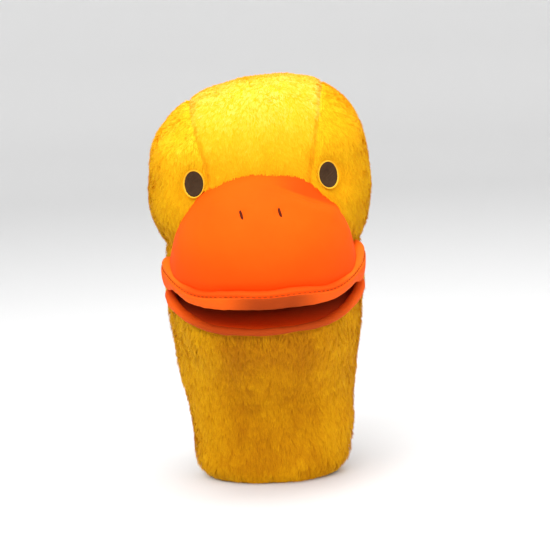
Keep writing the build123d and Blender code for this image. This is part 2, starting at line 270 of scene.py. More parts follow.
def linear(hex_colour):
    """A screen colour such as F0A020 as linear red, green, blue, alpha."""
    values = [int(hex_colour[i:i + 2], 16) / 255 for i in (0, 2, 4)]
    return [v / 12.92 if v <= 0.04045 else ((v + 0.055) / 1.055) ** 2.4 for v in values] + [1.0]


def new_material(name, colour, roughness, sheen):
    """A material with its constants set on the shader itself."""
    material = bpy.data.materials.new(name)
    material.use_nodes = True
    looks = {
        "Base Color": colour, "Roughness": roughness, "Specular IOR Level": 0.08,
        "Sheen Weight": sheen, "Sheen Roughness": 0.5, "Sheen Tint": colour,
    }
    for key, value in looks.items():
        material.node_tree.nodes["Principled BSDF"].inputs[key].default_value = value
    return material


def add(material, kind, inputs, **settings):
    """A new shader node, with each input set to a value or linked to the output given."""
    node = material.node_tree.nodes.new("ShaderNode" + kind)
    for key, value in settings.items():
        setattr(node, key, value)
    for key, value in inputs.items():
        if isinstance(value, bpy.types.NodeSocket):
            material.node_tree.links.new(value, node.inputs[key])
        else:
            node.inputs[key].default_value = value
    return node


def place_of(material):
    """The output that gives each point's place on the piece, in metres."""
    return add(material, "TexCoord", {}).outputs["Object"]


def feed(material, key, output):
    """Link an output to the shader, and return what fed that input before."""
    socket = material.node_tree.nodes["Principled BSDF"].inputs[key]
    before = socket.links[0].from_socket if socket.links else None
    material.node_tree.links.new(output, socket)
    return before


def raised(material, height, strength, distance):
    """Add a fine raised texture on top of those that the cloth has."""
    bump = add(material, "Bump", {"Height": height, "Strength": strength, "Distance": distance})
    below = feed(material, "Normal", bump.outputs["Normal"])
    if below is not None:
        material.node_tree.links.new(below, bump.inputs["Normal"])


def mottled(name, dark, light, roughness=0.85, sheen=0.05, scale=120, grain=900.0, bump=0.3):
    """Fabric: two tones mixed by soft noise, and a fine raised texture."""
    material = new_material(name, linear(light), roughness, sheen)
    place = place_of(material)
    cloud = add(material, "TexNoise", {"Vector": place, "Scale": scale, "Detail": 4})
    tones = {"Factor": cloud.outputs["Fac"], "A": linear(dark), "B": linear(light)}
    mix = add(material, "Mix", tones, data_type="RGBA")
    feed(material, "Base Color", mix.outputs["Result"])
    fine = add(material, "TexNoise", {"Vector": place, "Scale": grain, "Detail": 3})
    raised(material, fine.outputs["Fac"], bump, GRAIN_HEIGHT)
    return material


def knitted(name, dark, light, rib=2600.0, sheen=0.05):
    """Brushed tricot of the bill: very fine crossing ribs over soft shade changes."""
    material = mottled(name, dark, light, 0.75, sheen, scale=28, grain=1500, bump=0.25)
    bands = {"Vector": place_of(material), "Scale": rib / (2 * math.pi)}
    bands |= {"Distortion": 1.5, "Detail": 1}
    across, along = [
        add(material, "TexWave", bands, wave_type="BANDS", bands_direction=axis).outputs["Fac"]
        for axis in "XZ"
    ]
    ribs = add(material, "Math", {0: across, 1: along}, operation="ADD")
    raised(material, ribs.outputs["Value"], 0.25, RIB_HEIGHT)
    return material


def deepening(material, dark, *spans):
    """Darken a cloth past every span: a direction, and where the change starts and ends."""
    place, share = place_of(material), None
    for direction, near, far in spans:
        along = add(material, "VectorMath", {0: place, 1: direction}, operation="DOT_PRODUCT")
        reach = {"Value": along.outputs["Value"], "From Min": near * MM, "From Max": far * MM}
        past = add(material, "MapRange", reach, interpolation_type="SMOOTHSTEP").outputs["Result"]
        if share is not None:
            past = add(material, "Math", {0: share, 1: past}, operation="MULTIPLY").outputs["Value"]
        share = past
    mix = add(material, "Mix", {"Factor": share, "B": linear(dark)}, data_type="RGBA")
    before = feed(material, "Base Color", mix.outputs["Result"])
    material.node_tree.links.new(before, mix.inputs["A"])
    return material


def pile_tones(name, colours):
    """Plain tones for the strands of one plush, from shaded to sunlit."""
    tones = enumerate(colours.split())
    return [new_material(f"{name}_{i}", linear(colour), 0.7, 0.2) for i, colour in tones]


def thread(name, dark, light, scale):
    """Embroidery thread, a little shinier than the cloth."""
    return mottled(name, dark, light, roughness=0.6, scale=scale, bump=0.2)


def paint(piece, *materials):
    """Give a piece its materials in order."""
    for material in materials:
        piece.data.materials.append(material)


def dress(piece, material, body, node):
    """Paint a piece, put it on its body, and hide the CAD node that it stands for."""
    paint(piece, material)
    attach(piece, body)
    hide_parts(node)
    return piece


GRAIN_HEIGHT, RIB_HEIGHT = 0.0006, 0.0003
ACROSS, ALONG, UP = (1, 0, 0), (0, 1, 0), (0, 0, 1)
SLACK_SIDE = (0.43, 0, 1)  # square to the bill's slack fold, which falls 0.43 per step sideways

# Each plush's strand tones run from painted shade to painted light. The crown's tones and backing
# are lighter than the cheeks', and the sleeve's are deeper and more orange. This is partly the
# cloths' own colours, partly painted light on the crown from above and painted shade on the sleeve
# below the head.
GOLD_TONES = pile_tones("gold_pile", "DEA206 E6AC0A ECB60E F5C014 F9CA1C FED42E")
SLEEVE_TONES = pile_tones("sleeve_pile", "C27A04 CE8803 DA9604 E4A407 ECB00C F4BC16")
LEMON_TONES = pile_tones("lemon_pile", "F4AC0C F8B612 FCC01E FFC92C FFD048 FFD864")
gold_backing = mottled("gold_backing", "E09A08", "F0AE0E")
lemon_backing = mottled("lemon_backing", "F0B20E", "FCC81A")
sleeve_backing = mottled("sleeve_backing", "C07804", "D48E08")
# The bill's cloth is painted darker towards the dome's base, as painted shade under light from
# above. It is also darker past its slack fold at the upper right, as painted shade in the fold.
bill_knit = deepening(knitted("bill_knit", "F65402", "FC6406"), "F24C02", (UP, 196, 152))
deepening(bill_knit, "F44C04", (SLACK_SIDE, 222.8, 224.6), (ACROSS, 4, 26))
rim_knit = deepening(knitted("rim_knit", "FC680E", "FF7618"), "EC4E08", (ALONG, -62, -88))
# The rim's downward faces get a darker copy of its cloth, darkest in a band just off the middle:
# painted shade under the upper lip.
rim_shaded_under_knit = knitted("rim_shaded_under_knit", "F25A0E", "FA6614", sheen=0.04)
deepening(rim_shaded_under_knit, "A83E0E", (ACROSS, -34, -4))
deepening(rim_shaded_under_knit, "F05C12", (ACROSS, 18, 44))
# The lower lip's cloth is darker than the upper lip's, and darker still towards the front: painted
# shade from the upper bill.
lip_knit = deepening(knitted("lip_knit", "E4540C", "F26210"), "AC400F", (ALONG, -50, -96))
# The roof and floor of the mouth are painted darker deeper in: painted shade inside the mouth.
roof_knit = knitted("roof_knit", "CC4A18", "E05A1E", sheen=0.04)
deepening(roof_knit, "A2462A", (ALONG, -85, -25))
floor_knit = knitted("floor_knit", "DC480C", "EC560E", sheen=0.04)
deepening(floor_knit, "AC4420", (ALONG, -92, -44))
# The fold at the back of the mouth is painted dark red-brown: painted shade deep in the mouth.
fold_knit = knitted("fold_knit", "8E3418", "A03E1E", sheen=0.04)
eye_thread = thread("eye_thread", "3A2A1C", "4E3A28", 300)
outline_thread = thread("outline_thread", "F0B020", "FCCC3C", 300)
nostril_thread = thread("nostril_thread", "4A1606", "6E260C", 400)
stitch_thread = thread("stitch_thread", "A83406", "C44C0C", 400)
lining_cloth = knitted("lining_cloth", "D9A81C", "F0C848", rib=3600.0)
filling = mottled("filling", "D8D6CE", "F2F1EC", scale=60, bump=0.8, grain=300)
board_sheet = mottled("board_sheet", "CFCDC4", "E2E0D8", roughness=0.6, sheen=0, scale=40, bump=0.1)
label_tape = knitted("label_tape", "E4E2DC", "F6F5F1", rib=4000.0)


# ---- shape of the plush


TAPER_Z = [190, 224, 250, 265, 280, 297]
TAPER = [0.0, 0.004, 0.016, 0.028, 0.05, 0.10]
CROWN_SLOPE = 0.09  # the crown sits lower towards the puppet's right hand
CROWN_PEAK_X = 32.0


def head_shape(points):
    """The even head form drawn in towards the top, with its crown sloping to one side."""
    x, y, z = np.moveaxis(points, -1, 0)
    narrowed = x * (1 - curve(z, TAPER_Z, TAPER))
    sloped = z - CROWN_SLOPE * (CROWN_PEAK_X - x) * smooth(225, 292, z)
    return np.stack([narrowed, y, sloped], -1)


def eye_place(side):
    """Centre of an eye, seen from the front."""
    return side * EYE_X + EYE_SHIFT, EYE_Z + side * EYE_STEP


def head_sizes(z, inset):
    """Half sizes of the even head form: across, deep, and up or down from its widest level."""
    rise = np.where(z > HEAD_MID_Z, HEAD_TOP - HEAD_MID_Z - inset, HEAD_DOWN - inset)
    return HEAD_HALF + 1 - inset, HEAD_DEPTH - inset, rise


def even_head_point(alpha, beta, inset):
    """Point of the even head form: alpha goes from front over top to back, beta across it."""
    out = spow(np.sin(beta), 2 / HEAD_POWER)
    up = spow(np.sin(alpha), 2 / HEAD_POWER)
    half, depth, rise = head_sizes(HEAD_MID_Z + up, inset)
    across = half * spow(np.cos(beta), 2 / HEAD_POWER)
    deep = depth * spow(-np.cos(alpha), 2 / HEAD_POWER)
    return np.stack([across, HEAD_MID_Y + deep * out, HEAD_MID_Z + rise * up * out], -1)


def even_head_normal(points, inset):
    """Outward normal of the even head form at its points."""
    sizes = np.stack(np.broadcast_arrays(*head_sizes(points[..., 2], inset)), -1)
    share = (points - np.array([0, HEAD_MID_Y, HEAD_MID_Z])) / sizes
    return unit(spow(share, HEAD_POWER - 1) / sizes)


def head_point(alpha, beta, inset):
    """Point on the head, with its soft unevenness."""
    points = even_head_point(alpha, beta, inset)
    return head_shape(relief(points, even_head_normal(points, inset)))


SOCKET_DEPTH = 5.0
PUFF = 1.6  # how far the brows, cheeks and loose folds stand out
SEAM_DEPTH, SEAM_PUFF = 1.9, 0.9
SEAM_LOW_Z, SEAM_LOW_HALF = 225.0, 37.0
SEAM_TOP_HALF = 52.0


def seam_half(z):
    """Half width of the crown panel at a height: narrow over the bill, wide on top."""
    slope = (SEAM_TOP_HALF - SEAM_LOW_HALF) / (HEAD_TOP - SEAM_LOW_Z)
    return SEAM_LOW_HALF + slope * (z - SEAM_LOW_Z)


def seam_beta(alpha, inset):
    """The beta of the crown seam at each alpha."""
    z = np.full_like(alpha, SEAM_LOW_Z)
    for _ in range(8):
        share = np.clip(seam_half(z) / head_sizes(z, inset)[0], 0, 1)
        beta = np.arccos(share ** (HEAD_POWER / 2))
        z = even_head_point(alpha, beta, inset)[..., 2]
    return beta


def relief(points, normals):
    """Soft unevenness of the stuffed head: eye sockets, seam valleys, slumps and puffs."""
    x, y, z = np.moveaxis(points, -1, 0)
    move = 1.1 * ripple(points, 62, 3) + 0.45 * ripple(points, 24, 4)
    front = smooth(-10, -30, y)
    for side in (-1, 1):
        eye_x, eye_z = eye_place(side)
        move -= SOCKET_DEPTH * hill((x - eye_x, 12), (z - eye_z - 1, 14)) * front
        move += PUFF * hill((x - eye_x - side * 9, 17), (z - eye_z - 24, 12)) * front
        move += PUFF * hill((x - side * 70, 26), (z - 198, 20)) * smooth(25, -5, y)
    upper = smooth(200, 215, z)
    off_seam = np.abs(x) - seam_half(z)
    move -= SEAM_DEPTH * hill((off_seam, 2.2)) * upper
    move += SEAM_PUFF * hill((off_seam + 9, 8)) * upper
    return points + normals * move[..., None]


PROFILE_Z = [0, 25, 60, 100, 130, 150, 164, 176, 186]
PROFILE_HALF = [53.0, 57.2, 61.3, 68.6, 72.6, 72.2, 71.0, 68.5, 60.0]
PROFILE_BACK = [38.5, 41.0, 43.5, 46.5, 49.0, 52.0, 56.0, 57.5, 52.0]
PROFILE_FRONT = [38.5, 41.0, 43.5, 46.0, 48.0, 49.0, 50.0, 50.0, 45.0]
SEAM_Z = [0, 60, 110, 136, 142, 152, 186]
SEAM_Y = [0, -2, -8, -15, -20, -44, -44]
HEM_TUCK = 2.6  # the hem draws in by this
HEM_RISE = 7.5  # and its sides lift by this
TURNED_IN_Z = [0, 60, 74, 100, 134, 142, 152, 186]
TURNED_IN_Y = [0, -2, -5, -37, -12, -20, -44, -44]


def sleeve_profile(z, inset):
    """Half width, back and front of the sleeve at each height."""
    sides = PROFILE_HALF, PROFILE_BACK, PROFILE_FRONT
    return [curve(z, PROFILE_Z, side) - inset for side in sides]


def sleeve_relief(points, normals):
    """Soft clumsy tube: wandering bulges, a fuller lower edge and a few loose folds."""
    x, z = points[..., 0], points[..., 2]
    move = 1.6 * ripple(points, 70, 11) + 0.8 * ripple(points, 30, 12)
    move += PUFF * hill((z - 12, 12))
    move += 1.8 * hill((x - 42, 16), (z - 40, 24)) * (points[..., 1] < 0)
    points = points + normals * (move - HEM_TUCK * hill((z, 5.0)))[..., None]
    points[..., 2] += HEM_RISE * np.abs(x / 54) ** 3 * np.exp(-np.maximum(z, 0) / 16)
    return points


def back_grid(inset, rows=110, columns=120):
    """Back panel: hem to cheeks, turned in behind the chin, where the jaw opens."""
    z = np.linspace(0.6, PROFILE_Z[-1], rows)[:, None]
    wide, back, front = sleeve_profile(z, inset)
    start = np.arcsin(np.clip(np.interp(z, TURNED_IN_Z, TURNED_IN_Y) / front, -1, 0))
    turn = start + (math.pi - 2 * start) * np.linspace(0, 1, columns)[None]
    y = np.where(np.sin(turn) > 0, back, front) * np.sin(turn)
    return np.stack([wide * np.cos(turn), y, np.broadcast_to(z, y.shape)], -1)


LIP_CORNER_RISE = 7.2  # the chin's top edge follows the lower lip up at its corners
CHIN_S = [0.0, 0.25, 0.45, 0.62, 0.8, 0.92, 1.0]
CHIN_Y = [-38.5, -42.0, -47.5, -60.0, -79.0, -90.0, -95.0]
CHIN_Z = [0.0, 34.0, 58.0, 76.0, 94.0, 106.0, 116.8]
SIDE_Z = [0.0, 36.0, 68.0, 92.0, 113.0, 125.5, 133.5]


def front_grid(inset, rows=110, columns=120):
    """Front panel: from the hem up the sleeve, out under the chin to the lower bill."""
    s = np.linspace(0, 1, rows)[:, None]
    side_z = curve(s, CHIN_S, SIDE_Z) + 0.6
    side_y = np.interp(side_z, SEAM_Z, SEAM_Y)
    wide, _, front = sleeve_profile(side_z, inset)
    half = wide * np.sqrt(np.maximum(1 - (side_y / front) ** 2, 0.02))
    centre_y = curve(s, CHIN_S, CHIN_Y) + inset * (1 - 0.4 * s)
    centre_z = curve(s, CHIN_S, CHIN_Z) + 0.6 + inset * 0.8 * smooth(0.5, 0.8, s)
    turn = np.linspace(-math.pi / 2, math.pi / 2, columns)[None]
    out = np.cos(turn)
    y = side_y + (centre_y - side_y) * out
    z = side_z + (centre_z - side_z) * out
    z += LIP_CORNER_RISE * smooth(34, 74, np.abs(np.degrees(turn))) * smooth(0.78, 1.0, s)
    return np.stack([half * np.sin(turn), y, z], -1)


def crown_grid(low, high, inset, rows=110, columns=90):
    """Strip of the head between the two crown seams, from one alpha to another."""
    alpha = np.linspace(low, high, rows)
    edge = seam_beta(alpha, inset)[:, None]
    beta = edge + (math.pi - 2 * edge) * np.linspace(0, 1, columns)[None]
    return head_point(alpha[:, None], beta, inset)[:, ::-1]


def side_grid(side, inset, rows=150, columns=60):
    """One side of the head, from the crown seam to the middle of the cheek."""
    alpha = np.linspace(math.radians(-90), math.radians(270), rows)
    beta = seam_beta(alpha, inset)[:, None] * np.linspace(0.00001, 1, columns)[None]
    if side > 0:
        return head_point(alpha[:, None], beta, inset)[:, ::-1]
    return head_point(alpha[:, None], math.pi - beta, inset)


# ---- pile strands

# Strands for each square millimetre, and the width of one.
DENSITY, STRAND_WIDTH = ((2.4, 0.36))
# How far strands swirl together and alone, tilt together and alone, lie down on top, and spin.
SWIRL, SWIRL_ALONE, TILT, TILT_ALONE, TOP_TILT, SPIN = np.radians([22, 13, 7, 8, 17, 14])


def dome_radius(z):
    """Radius of the dome at a height above its base."""
    share = np.clip(z / DOME_HEIGHT, 0, 1)
    return DOME_RADIUS * (1 - share**DOME_POWER) ** (1 / DOME_POWER)


def inside_bill(points, margin):
    """True where a point is inside the stuffed dome or its lip."""
    x, y, z = np.moveaxis(points, -1, 0)
    radius = dome_radius(z - DOME_BASE_Z) + margin
    in_dome = (x**2 + (y - DOME_MID_Y) ** 2 < radius**2) & (z > DOME_BASE_Z - 4)
    in_lip = (
        ((x / (rim_high[0] - 1)) ** 2 + ((y - FOLD_Y) / (FOLD_Y - rim_low[1] - 1)) ** 2 < 1)
        & (y < FOLD_Y - 3) & (z > FOLD_Z) & (z < rim_high[2] + 6)
    )
    return in_dome | in_lip


def eye_distance(points):
    """How far a point is from the nearest eye, as a share of the eye's size; 1 is its edge."""
    reach = []
    for side in (-1, 1):
        eye_x, eye_z = eye_place(side)
        dx = (points[..., 0] - eye_x) / (EYE_HALF_WIDTH + EYE_OUTLINE)
        dz = (points[..., 2] - eye_z) / (EYE_HALF_HEIGHT + EYE_OUTLINE)
        reach.append(np.sqrt(dx**2 + dz**2) + 10 * (points[..., 1] > -20))
    return np.minimum(*reach)


def downwards(points):
    """Lay of the pile: down the sides, and forwards and outwards over the crown."""
    lay = np.zeros_like(points)
    lay[..., 2] = -1.0
    lay[..., 1] = -0.35 * smooth(40, 0, points[..., 1])
    lay[..., 0] = 0.006 * points[..., 0]
    return lay


def pile(name, grid, tones, seed, length, clump, lean, light, keep):
    """A panel's pile: tapered strands that lean along the nap and gather in small tufts."""
    rng = np.random.default_rng(seed)
    normals = grid_normals(grid)
    a, b, c, d = grid[:-1, :-1], grid[:-1, 1:], grid[1:, 1:], grid[1:, :-1]
    halves = np.cross(b - a, d - a), np.cross(b - c, d - c)
    area = (np.linalg.norm(halves[0], axis=-1) + np.linalg.norm(halves[1], axis=-1)) / 2
    share = np.cumsum(area.ravel())
    count = int(share[-1] * DENSITY)
    cell = np.searchsorted(share, rng.uniform(0, share[-1], count))
    row, column = np.unravel_index(cell, area.shape)
    u, v = rng.uniform(size=(2, count, 1))

    def spread(values):
        low = values[row, column] * (1 - u) + values[row, column + 1] * u
        high = values[row + 1, column] * (1 - u) + values[row + 1, column + 1] * u
        return low * (1 - v) + high * v

    roots, normal = spread(grid), unit(spread(normals))
    kept = keep(roots)
    roots, normal = roots[kept], normal[kept]
    count = len(roots)

    lay = downwards(roots)
    tangent = unit(lay - (lay * normal).sum(-1, keepdims=True) * normal)
    swirl = SWIRL * ripple(roots, 26, seed + 1) + rng.normal(0, SWIRL_ALONE, count)
    sideways = np.cross(normal, tangent)
    tangent = unit(tangent * np.cos(swirl)[:, None] + sideways * np.sin(swirl)[:, None])
    tilt = np.radians(lean) + rng.normal(0, TILT_ALONE, count)
    tilt += TILT * ripple(roots, 17, seed + 2)
    tilt += TOP_TILT * smooth(0.7, 0.95, normal[:, 2])
    size = length * rng.uniform(0.72, 1.18, count) * (1 + 0.12 * ripple(roots, 20, seed + 3))
    size *= 1 + 0.5 * np.exp(-roots[:, 2] / 9)  # longer at the hem
    size *= 1 + 0.5 * (inside_bill(roots, 5.5) & (roots[:, 2] > 190))  # and round the dome's top
    size *= 0.45 + 0.55 * smooth(1.0, 1.5, eye_distance(roots))  # short round the eyes
    reach = normal * np.cos(tilt)[:, None] + tangent * np.sin(tilt)[:, None]
    tips = roots + reach * size[:, None]
    tips[:, 2] = np.maximum(tips[:, 2], rng.uniform(0.2, 1.4, count))

    leaders = rng.choice(count, max(1, int(count / (clump * clump * DENSITY))), replace=False)
    tree = KDTree(len(leaders))
    for i, k in enumerate(leaders):
        tree.insert(roots[k], i)
    tree.balance()
    mine = np.array([tree.find(p)[1] for p in roots])
    lead = leaders[mine]
    pull = rng.uniform(0.25, 0.6, count)[:, None]
    goal = tips[lead] + (roots - roots[lead]) * 0.35
    tips = tips * (1 - pull) + goal * pull
    middle = roots * 0.5 + tips * 0.5 + normal * (0.13 * size)[:, None]

    blade = unit(tips - roots)
    flat = unit(np.cross(blade, normal))
    spin = rng.normal(0, SPIN, count)[:, None]
    flat = unit(flat * np.cos(spin) + np.cross(blade, flat) * np.sin(spin))
    broad = STRAND_WIDTH * rng.uniform(0.75, 1.2, count)[:, None]
    low, high = flat * broad * 0.5, flat * broad * 0.46
    verts = np.stack([roots - low, roots + low, middle + high, middle - high, tips], 1)
    quads, tris = (np.arange(count)[:, None] * 5 + face for face in ([0, 1, 2, 3], [3, 2, 4]))
    wrong = (np.cross(flat, blade) * normal).sum(-1) < 0
    quads[wrong] = quads[wrong][:, ::-1]
    tris[wrong] = tris[wrong][:, ::-1]
    soft = unit(normal + flat * rng.normal(0, 0.16, count)[:, None] - tangent * 0.06)
    shade = np.repeat(soft[:, None], 5, axis=1)
    shade[:, 4] += reach * 0.25
    tone = light(roots) + 0.6 * ripple(roots, 34, seed + 5) + rng.normal(0, 0.35, count)
    tone += rng.normal(0, 0.3, len(leaders))[mine]
    # Each strand's root half is a little darker and its tip a little lighter: painted shade deep in
    # the pile and painted light on the tips.
    tone = np.clip(np.round(np.concatenate([tone - 0.3, tone + 0.3])), 0, len(tones) - 1)
    piece = mesh_object(name, verts.reshape(-1, 3), quads, tris, tone, unit(shade).reshape(-1, 3))
    paint(piece, *tones)
    piece.visible_shadow = False
    return piece


# ---- plush pieces


def clear_of_bill(points):
    """Where the head's strands grow: outside the bill and the eyes."""
    over_eye = points[:, 2] > EYE_Z + 4
    return ~inside_bill(points, -1.5) & (eye_distance(points) > 1.04 - 0.09 * over_eye)


def lit(low_light, high_light, low_z, high_z):
    """Painted light on the head's pile: a tone that rises with height, as light falls from above,
    and painted shade round the eyes, where the sockets dip and the pile is pressed flat by the
    embroidery.
    """
    return lambda p: (
        low_light + (high_light - low_light) * smooth(low_z, high_z, p[:, 2])
        - 1.6 * hill((eye_distance(p) - 1.0, 0.5))
    )


def sleeve_light(points):
    """Painted light and shade on the sleeve: lit at its sides, a lower corner and the middle of the
    hem, with painted shade down the middle, most of all under the chin.
    """
    x, z = points[:, 0], points[:, 2]
    middle = 1 - smooth(20, 56, np.abs(x))
    tone = 3.6 - 2.2 * middle - 0.9 * middle * smooth(80, 104, z) - 0.9 * smooth(22, 60, x)
    return with_hills(tone, x, z, (1.2, -6, 30, 4, 9), (1.0, 38, 18, 34, 14))


def head_panel(name, node, grid, tones, backing, seed, light):
    """One stuffed panel of the head with its pile."""
    skin = dress(shell(f"{name}_backing", grid, BACKING), backing, "head", node)
    hair = pile(f"{name}_pile", grid, tones, seed, 4.4, 3.0, 61, light, clear_of_bill)
    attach(hair, "head")


TOP_ALPHA, TOP_BACK_ALPHA, NAPE_ALPHA = np.radians([-40, 118, 236])
crown = crown_grid(TOP_ALPHA, TOP_BACK_ALPHA, PILE_RISE)
nape = crown_grid(TOP_BACK_ALPHA, NAPE_ALPHA, PILE_RISE)
head_panel("crown", "crown_gusset", crown, LEMON_TONES, lemon_backing, 21, lit(0.4, 4.0, 222, 285))
head_panel("nape", "head_back", nape, GOLD_TONES, gold_backing, 22, lit(1.0, 3.6, 205, 280))
# The left cheek gets more painted light than the right, as the key light falls from the left.
for side, label, seed, light in (
    (1, "right", 23, lit(1.0, 3.2, 200, 275)),
    (-1, "left", 24, lit(1.2, 4.2, 195, 270)),
):
    cheek = side_grid(side, PILE_RISE)
    head_panel(f"cheek_{label}", f"head_side_{label}", cheek, GOLD_TONES, gold_backing, seed, light)


def sleeve_panel(name, nodes, grid, seed, keep):
    """One panel of the sleeve with its pile."""
    grid = sleeve_relief(grid, grid_normals(grid))
    skin = shell(f"{name}_backing", grid, BACKING)
    paint(skin, sleeve_backing)
    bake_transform(skin)
    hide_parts(*nodes)
    half = len(grid) // 2
    for part, rows in (("low", grid[: half + 1]), ("high", grid[half:])):
        label = f"{name}_{part}_pile"
        hair = pile(label, rows, SLEEVE_TONES, seed, 5.4, 3.8, 57, sleeve_light, keep)
        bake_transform(hair)
        seed += 50


sleeve_panel(
    "front", ["sleeve_front", "throat_panel", "chin_panel"], front_grid(PILE_RISE), 31,
    lambda p: np.full(len(p), True),
)
sleeve_panel(
    "back", ["sleeve_back", "nape_panel"], back_grid(PILE_RISE), 32,
    lambda p: ~inside_bill(p, 1.0),
)


# ---- upper bill


def dome_point(turn, rise, inset):
    """Point on the dome: turn from straight ahead to each side, rise from base to top."""
    out = (DOME_RADIUS - inset) * np.maximum(np.cos(rise), 0) ** (2 / DOME_POWER)
    x = out * np.sin(turn)
    y = DOME_MID_Y - out * np.cos(turn)
    z = DOME_BASE_Z - 2 + (DOME_HEIGHT - inset) * np.maximum(np.sin(rise), 0) ** (2 / DOME_POWER)
    return np.stack([x, y, z], -1)


FRONT_PUFF = (1.6, 0, 44, 172, 22)
OUTLINE_PUFFS = (2.4, 29, 14, 221, 8), (3.6, 56, 12, 201, 10)
FOLD_DEPTH, FOLD_PUFF, BASE_TUCK, NOSTRIL_DEPTH = 2.4, 1.3, 1.6, 0.9
FOLD_X = [6, 18.6, 36, 50.4, 58.3, 66]
FOLD_HEIGHT = [217, 213.0, 205.5, 198.6, 189.5, 178]


def past_fold(points):
    """How far above the dome's slack fold a point is, and how strong the fold is there."""
    x, y, z = np.moveaxis(points, -1, 0)
    strength = smooth(6, 22, x) * smooth(66, 58, x) * smooth(-30, -40, y)
    return z - curve(x, FOLD_X, FOLD_HEIGHT), strength


def dome_relief(points, normals):
    """Stuffed knit: full in front, a slack fold at the upper right, dimples at the nostrils."""
    x, y, z = np.moveaxis(points, -1, 0)
    ahead = smooth(-30, -50, y)
    move = 0.7 * ripple(points, 48, 41) + 0.25 * ripple(points, 17, 42)
    move = with_hills(move, x, z, FRONT_PUFF)
    above, along = past_fold(points)
    move -= FOLD_DEPTH * smooth(-1.5, 2.5, above) * hill((np.maximum(above - 3, 0), 6)) * along
    move += FOLD_PUFF * hill((above + 4.5, 4.5)) * along
    move = with_hills(move, x, z, *OUTLINE_PUFFS) - BASE_TUCK * hill((z - DOME_BASE_Z, 5))
    for side in (-1, 1):
        near = ((x - side * NOSTRIL_X) ** 2 + (z - NOSTRIL_Z) ** 2) / 14
        move -= NOSTRIL_DEPTH * np.exp(-near) * ahead
    return points + normals * move[..., None]


turn_grid, rise_grid = np.meshgrid(
    np.radians(np.linspace(-140, 140, 250)), np.radians(np.linspace(0, 88.5, 150))
)
even_dome = dome_point(turn_grid, rise_grid, 0.0)
dome = shell("bill_dome", dome_relief(even_dome, grid_normals(even_dome)), 1.6)
dress(dome, bill_knit, "head", "upper_bill_cover")


LIP_SAMPLES, LIP_REACH = 181, 97.0  # points along a lip, and how many degrees it goes each way


def lip_path(half, length, mid_z, droop, side_lift):
    """Centre line of a lip: half an oval from the fold, flat at the tip and raised at the sides."""
    degrees = np.linspace(-LIP_REACH, LIP_REACH, LIP_SAMPLES)
    turn = np.radians(degrees)
    ahead = length * np.cos(turn)
    bend = np.abs(degrees)
    x = half * np.sin(turn) * (1 - 0.05 * smooth(80, LIP_REACH, bend))
    wing = np.where(degrees > 0, 1.25, 0.5) * smooth(72, LIP_REACH, bend)
    z = mid_z - ahead * math.sin(droop) + side_lift * (smooth(34, 78, bend) + wing)
    line = np.stack([x, FOLD_Y - ahead * math.cos(droop), z], -1)
    line[:, 2] += 0.7 * ripple(line, 60, 52)
    return line, bend


def lip_grid(path, radial, upright, power, seed, sides=48, groove=None):
    """Padded lip: a rounded flat section swept round the path, pinched to the corners."""
    along = unit(np.gradient(path, axis=0))
    outwards = unit(np.cross(along, np.broadcast_to((0.0, 0.0, 1.0), path.shape)))
    upwards = np.cross(outwards, along)
    angle = once_round(sides)
    ring_out, ring_up = spow(np.cos(angle), 2 / power), spow(np.sin(angle), 2 / power)
    if groove is not None:
        pinch = 1 - 0.2 * hill((angle - groove, 0.13))
        below = np.where(angle > math.pi, angle - 2 * math.pi, angle)
        tuck = 1 - 0.17 * smooth(groove, -0.6, below) * (np.cos(angle) > 0)
        ring_out, ring_up = ring_out * (pinch * tuck), ring_up * pinch
    grid = (
        path[:, None]
        + outwards[:, None] * (ring_out[None] * radial[:, None])[..., None]
        + upwards[:, None] * (ring_up[None] * upright[:, None])[..., None]
    )
    bump = 0.5 * ripple(grid, 26, seed) + 0.22 * ripple(grid, 9, seed + 1)
    return grid + unit(grid - path[:, None]) * bump[..., None], outwards, upwards


STITCH_ANGLE = math.radians(26)
RIM_POWER = 2.5
RIM_HALF = rim_high[0] - 6
RIM_LENGTH = FOLD_Y - rim_low[1] - 7
RIM_MID_Z = 145.1
rim_path, rim_degrees = lip_path(RIM_HALF, RIM_LENGTH, RIM_MID_Z, 0.0, side_lift=10.5)
rim_pinch = 0.3 + 0.7 * smooth(98, 78, rim_degrees)
rim_radial = (7.0 - 1.2 * smooth(40, 75, rim_degrees)) * rim_pinch
rim_upright = 6.6 - 1.1 * smooth(20, 46, rim_degrees) + 6.3 * smooth(56, 84, rim_degrees)
rim_upright *= rim_pinch
rim_grid, rim_out, rim_up = lip_grid(
    rim_path, rim_radial, rim_upright, RIM_POWER, 51, groove=STITCH_ANGLE
)
rim = mesh_object("bill_lip", *capped(rim_grid))
paint(rim, rim_knit)
dress(rim, rim_shaded_under_knit, "head", "upper_bill_rim")
# The lip's downward faces take the painted-shade copy of the rim's cloth.
under = np.zeros(len(rim.data.polygons), np.int32)
rows, columns = rim_grid.shape[:2]
strip = under[: (rows - 1) * columns].reshape(rows - 1, columns)
strip[:, columns * 5 // 8:] = strip[:, :2] = 1  # the faces that look down
rim.data.polygons.foreach_set("material_index", under)


